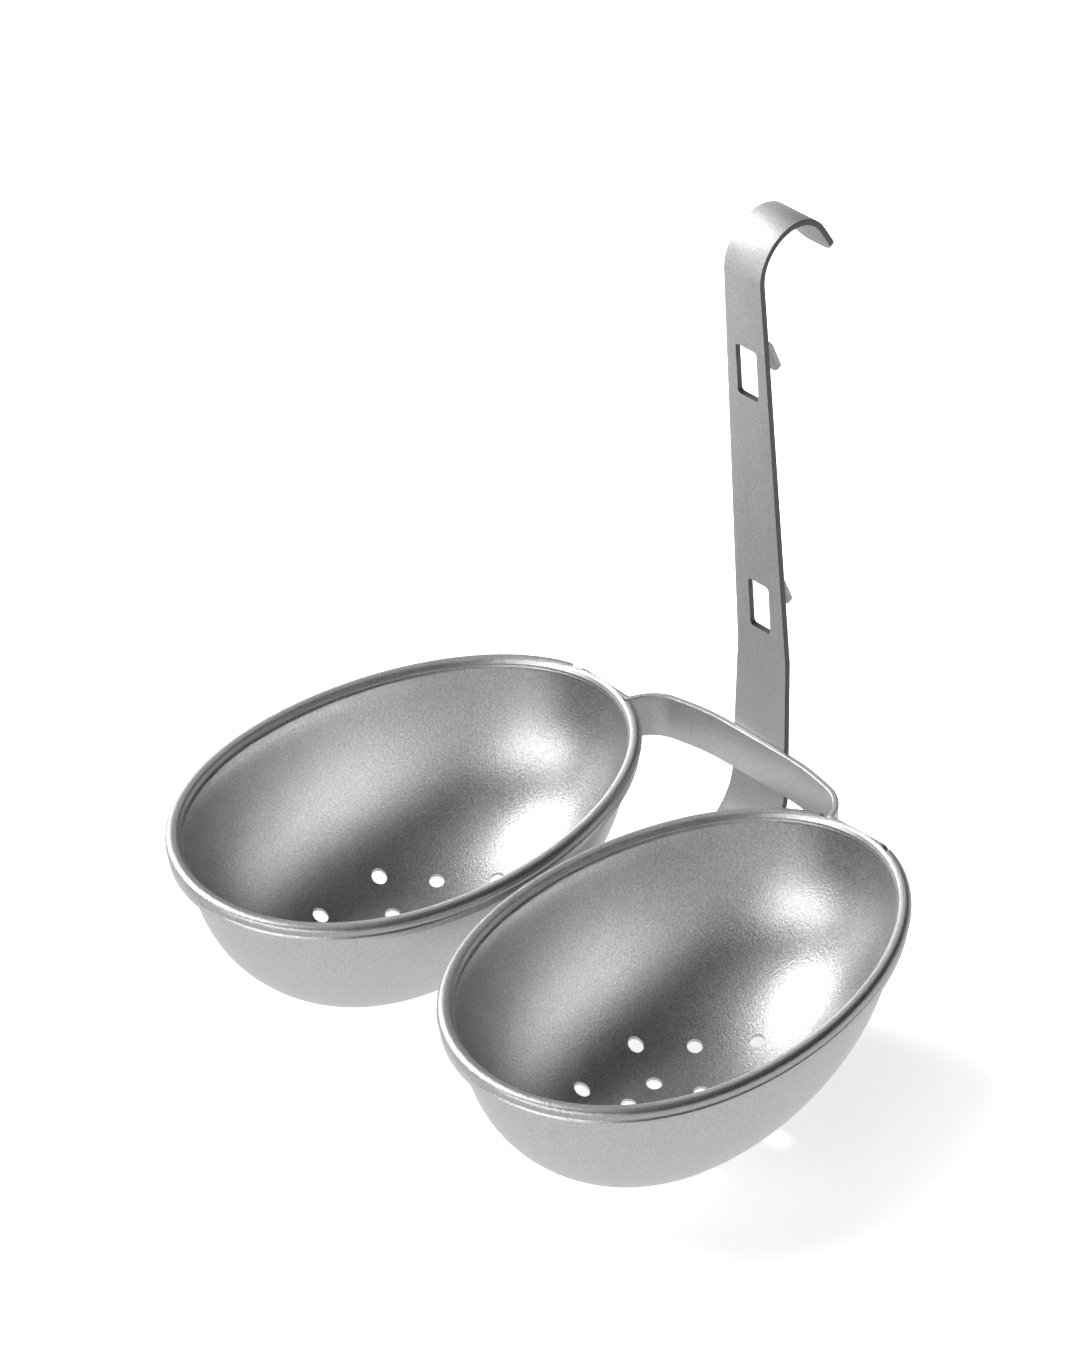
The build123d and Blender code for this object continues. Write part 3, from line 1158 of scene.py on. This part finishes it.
@dataclass(frozen=True)
class SatinCoat:
    """Silver satin coating with a fine metallic grain; painted shade darkens its cut edges and its rolled
    bead.
    """

    name: str = "satin_silver_coat"
    colour: tuple[float, float, float] = (0.49, 0.4915, 0.495)
    metallic: float = 0.86
    roughness: float = 0.35
    grain_per_metre: float = 2600.0
    grain_detail: float = 2.0
    grain_steepness: float = 0.6
    grain_contrast: float = 0.38
    grain_dulling: float = 0.14
    inside_gain: float = 0.7
    mottle_per_metre: float = 160.0
    mottle_detail: float = 3.0
    mottle_steepness: float = 0.5
    mottle_contrast: float = 0.12
    mottle_dulling: float = 0.06
    bump_height: float = 0.00014
    bump_strength: float = 0.5
    # share by which painted shade darkens the faces marked for it
    painted_shade_depth: float = 0.72
    weld_marks: tuple[Point, ...] = ((0.03143, 0.038, 0.0306), (0.03623, 0.0382, 0.0306))
    weld_mark_radius: float = 0.0015
    weld_mark_light: float = 0.05
    weld_mark_relief: float = 0.5
    ring_share: float = 0.8
    ring_sharpness: float = 4.0

    def build(self) -> bpy.types.Material:
        """Makes the material.

        Returns:
            The coating as a Blender material.
        """
        material = bpy.data.materials.new(self.name)
        material.use_nodes = True
        tree = Tree(material.node_tree)
        surface = material.node_tree.nodes["Principled BSDF"]
        place = tree.add("ShaderNodeTexCoord", {}, {}, "Object")
        grain = noise(tree, place, self.grain_per_metre, self.grain_detail, self.grain_steepness) - 0.5
        mottle = noise(tree, place, self.mottle_per_metre, self.mottle_detail, self.mottle_steepness) - 0.5
        inside = tree.add("ShaderNodeAttribute", {"attribute_name": "inside"}, {}, 2)
        thin_coat = tree.add("ShaderNodeAttribute", {"attribute_name": "thin_coat"}, {}, 2)
        marks = self._rings(tree, place)
        contrast = self.grain_contrast * (1.0 + inside * self.inside_gain)
        shade = 1.0 + grain * contrast * 2.0 + mottle * self.mottle_contrast + marks * self.weld_mark_light
        # painted shade: darker cut edges and a darker rolled bead, which tones down its highlight
        shade = shade * (1.0 - thin_coat * self.painted_shade_depth)
        tree.join(surface, "Base Color", tinted(tree, self.colour, shade))
        tree.join(surface, "Metallic", self.metallic)
        dulling = grain * self.grain_dulling + mottle * self.mottle_dulling
        tree.join(surface, "Roughness", (self.roughness + dulling).clamp())
        height = grain + marks * self.weld_mark_relief
        bump = {"Strength": self.bump_strength, "Distance": self.bump_height, "Height": height}
        tree.join(surface, "Normal", tree.add("ShaderNodeBump", {}, bump))
        return material

    def _rings(self, tree: Tree, place: Value) -> Value:
        """Draws the faint rings that the spot welds leave on the back walls of both cups.

        Args:
            tree: The material's tree.
            place: Object coordinates.

        Returns:
            1 on the rings and 0 away from them.
        """
        x, y, z = tree.split(place)
        rings = []
        for middle in self.weld_marks:
            offsets = {0: x.call("ABSOLUTE") - middle[0], 1: y - middle[1], 2: z - middle[2]}
            away = tree.length(tree.add("ShaderNodeCombineXYZ", {}, offsets)) / self.weld_mark_radius
            off_ring = away - self.ring_share
            rings.append((-(off_ring * off_ring * self.ring_sharpness)).call("EXPONENT"))
        return rings[0] + rings[1]


@dataclass(frozen=True)
class HangerCoat(SatinCoat):
    """The same coating on the hanger, where it is duller and its colour is darkened as painted shade against
    the hook's highlight.
    """

    name: str = "satin_silver_hanger_coat"
    # darker colour: painted shade that tones down the hook's highlight
    colour: tuple[float, float, float] = (0.455, 0.4565, 0.46)
    roughness: float = 0.58


@dataclass(frozen=True)
class WeldSteel:
    """Bare, slightly burnt steel of the spot welds."""

    name: str = "weld_steel"
    colour: tuple[float, float, float] = (0.42, 0.42, 0.43)
    roughness: float = 0.5
    grain_per_metre: float = 3500.0
    grain_detail: float = 4.0
    grain_steepness: float = 0.5
    grain_contrast: float = 0.4
    grain_dulling: float = 0.2

    def build(self) -> bpy.types.Material:
        """Makes the material.

        Returns:
            The steel as a Blender material.
        """
        material = bpy.data.materials.new(self.name)
        material.use_nodes = True
        tree = Tree(material.node_tree)
        surface = material.node_tree.nodes["Principled BSDF"]
        place = tree.add("ShaderNodeTexCoord", {}, {}, "Object")
        grain = noise(tree, place, self.grain_per_metre, self.grain_detail, self.grain_steepness) - 0.5
        tree.join(surface, "Base Color", tinted(tree, self.colour, 1.0 + grain * self.grain_contrast))
        tree.join(surface, "Metallic", 1.0)
        tree.join(surface, "Roughness", (self.roughness + grain * self.grain_dulling).clamp())
        return material


@dataclass(frozen=True)
class StudioPaper:
    """White paper that keeps the object's shadow near it and is plain white further away."""

    name: str = "studio_paper"
    albedo: float = 0.8
    own_white: float = 0.5
    lit_share: float = 1.3
    white_from: float = 0.22
    white_over: float = 0.3

    def build(self) -> bpy.types.Material:
        """Makes the material.

        Returns:
            The paper as a Blender material.
        """
        material = bpy.data.materials.new(self.name)
        material.use_nodes = True
        tree = Tree(material.node_tree)
        material.node_tree.nodes.remove(material.node_tree.nodes["Principled BSDF"])
        rays = tree.node("ShaderNodeLightPath", {}, {})
        camera, glossy, through = (
            Value(tree, rays.outputs[f"Is {kind} Ray"]) for kind in ("Camera", "Glossy", "Transmission")
        )
        mirrored = glossy.call("MAXIMUM", through)
        plain = tree.add("ShaderNodeBsdfDiffuse", {}, {"Color": (self.albedo,) * 3 + (1.0,)})
        lit = tree.add("ShaderNodeBsdfDiffuse", {}, {"Color": (self.lit_share,) * 3 + (1.0,)})
        reach = tree.length(tree.add("ShaderNodeTexCoord", {}, {}, "Object"))
        far = ((reach - self.white_from) / self.white_over).clamp()
        strength = self.own_white + far * (1.0 - self.own_white)
        white = tree.add("ShaderNodeEmission", {}, {"Color": WHITE, "Strength": strength})
        shown = tree.add("ShaderNodeAddShader", {}, {0: lit, 1: white})
        full_white = tree.add("ShaderNodeEmission", {}, {"Color": WHITE, "Strength": 1.0})
        unseen = tree.add("ShaderNodeMixShader", {}, {0: mirrored, 1: plain, 2: full_white})
        mixed = tree.add("ShaderNodeMixShader", {}, {0: camera, 1: unseen, 2: shown})
        tree.join(material.node_tree.nodes["Material Output"], "Surface", mixed)
        return material


@dataclass(frozen=True)
class Softbox:
    """One area lamp, placed by the direction that it shines from."""

    name: str
    azimuth: float
    elevation: float
    spread_across: float
    spread_up: float
    radiance: float


@dataclass
class Studio:
    """Floor with a border, dim surroundings, softboxes and camera."""

    floor_size: float = 12.0
    border_height: float = 0.9
    paper: StudioPaper = StudioPaper()
    middle: Vector = field(default_factory=lambda: Vector((0.0, 0.0, 0.04)))
    fill: float = 0.02
    softboxes: tuple[Softbox, ...] = (
        Softbox("key_softbox", -73.0, 40.0, 32.0, 30.0, 12.0),
        Softbox("upper_softbox", -52.0, 57.0, 30.0, 22.0, 5.4),
        Softbox("low_front_softbox", 9.0, 21.0, 60.0, 20.0, 4.4),
        Softbox("low_left_softbox", -102.0, 8.0, 48.0, 15.0, 4.2),
        Softbox("back_left_softbox", -128.0, 42.0, 40.0, 30.0, 0.9),
        Softbox("overhead_softbox", -20.0, 74.0, 60.0, 36.0, 0.5),
    )
    lamp_distance: float = 2.5
    azimuth: float = 45.17
    elevation: float = 35.995
    distance: float = 1.1562
    lens: float = 158.57
    clip: tuple[float, float] = (0.01, 20.0)
    target: Vector = field(default_factory=lambda: Vector((-44.45, 33.372, 36.6)) * MM)

    @staticmethod
    def direction(azimuth: float, elevation: float) -> Vector:
        """Unit vector towards a place round the object.

        Args:
            azimuth: Degrees, 0 in front of the cups and 90 to their right.
            elevation: Degrees above the horizon.

        Returns:
            The direction.
        """
        a, e = math.radians(azimuth), math.radians(elevation)
        return Vector((math.sin(a) * math.cos(e), -math.cos(a) * math.cos(e), math.sin(e)))

    def build_floor(self) -> bpy.types.Object:
        """Lays the floor, whose border rises behind the object in low views.

        Returns:
            The floor object.
        """
        half = self.floor_size / 2
        mesh = bpy.data.meshes.new("studio_floor")
        square = [(-half, -half), (half, -half), (half, half), (-half, half)]
        corners = [(x, y, z) for z in (0.0, self.border_height) for x, y in square]
        sides = [(i + 4, (i + 1) % 4 + 4, (i + 1) % 4, i) for i in range(4)]
        mesh.from_pydata(corners, [], [tuple(range(4)), *sides])
        mesh.materials.append(self.paper.build())
        floor = bpy.data.objects.new("studio_floor", mesh)
        bpy.context.scene.collection.objects.link(floor)
        return floor

    def build_world(self) -> None:
        """Sets the dim surroundings above the floor's border."""
        world = bpy.data.worlds.new("studio_surroundings")
        bpy.context.scene.world = world
        world.use_nodes = True
        background = world.node_tree.nodes["Background"]
        background.inputs["Color"].default_value = WHITE
        background.inputs["Strength"].default_value = self.fill

    def build_softboxes(self) -> None:
        """Hangs the softboxes, each turned to the object."""
        for box in self.softboxes:
            lamp = bpy.data.lights.new(box.name, "AREA")
            lamp.shape = "RECTANGLE"
            lamp.size = 2.0 * self.lamp_distance * math.tan(math.radians(box.spread_across / 2.0))
            lamp.size_y = 2.0 * self.lamp_distance * math.tan(math.radians(box.spread_up / 2.0))
            lamp.energy = math.pi * lamp.size * lamp.size_y * box.radiance
            holder = bpy.data.objects.new(box.name, lamp)
            towards = self.direction(box.azimuth, box.elevation)
            holder.location = self.middle + towards * self.lamp_distance
            holder.rotation_euler = towards.to_track_quat("Z", "Y").to_euler()
            bpy.context.scene.collection.objects.link(holder)

    def build_camera(self) -> None:
        """Sets the camera at the photograph's viewing angle."""
        data = bpy.data.cameras.new("photo_camera")
        data.lens = self.lens
        data.clip_start, data.clip_end = self.clip
        camera = bpy.data.objects.new("photo_camera", data)
        towards = self.direction(self.azimuth, self.elevation)
        camera.location = self.target + towards * self.distance
        camera.rotation_euler = towards.to_track_quat("Z", "Y").to_euler()
        bpy.context.scene.collection.objects.link(camera)
        bpy.context.scene.camera = camera

    def build(self) -> None:
        """Builds the whole studio."""
        bpy.context.scene.view_settings.view_transform = "Standard"
        self.build_floor()
        self.build_world()
        self.build_softboxes()
        self.build_camera()


@dataclass
class CarriedNodes:
    """CAD nodes that stay as they are and only get a finish."""

    coated: tuple[str, ...] = ("left_cup", "right_cup", "cross_strap", "hanger_strap")
    welded: tuple[str, ...] = ("left_cup_welds", "right_cup_welds", "hanger_welds")

    def dress(self, coat: bpy.types.Material, steel: bpy.types.Material) -> None:
        """Gives each node its material.

        Args:
            coat: Material of the coated sheets.
            steel: Material of the spot welds.
        """
        for names, material in ((self.coated, coat), (self.welded, steel)):
            for name in names:
                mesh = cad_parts[name].data
                mesh.materials.clear()
                mesh.materials.append(material)
                LOG.info("dressed %s with %s", name, material.name)


def main() -> None:
    """Builds the object's looks and its studio."""
    logging.basicConfig(level=logging.INFO)
    coat = SatinCoat().build()
    steel = WeldSteel().build()
    CarriedNodes().dress(coat, steel)
    EggCup("egg_cup_left", "left_cup", -1).build(coat)
    EggCup("egg_cup_right", "right_cup", 1).build(coat)
    CrossStrap("bent_cross_strap", "cross_strap").build(coat)
    HangerStrap("pot_hanger", "hanger_strap").build(HangerCoat().build())
    Studio().build()


if __name__ == "__main__":
    main()
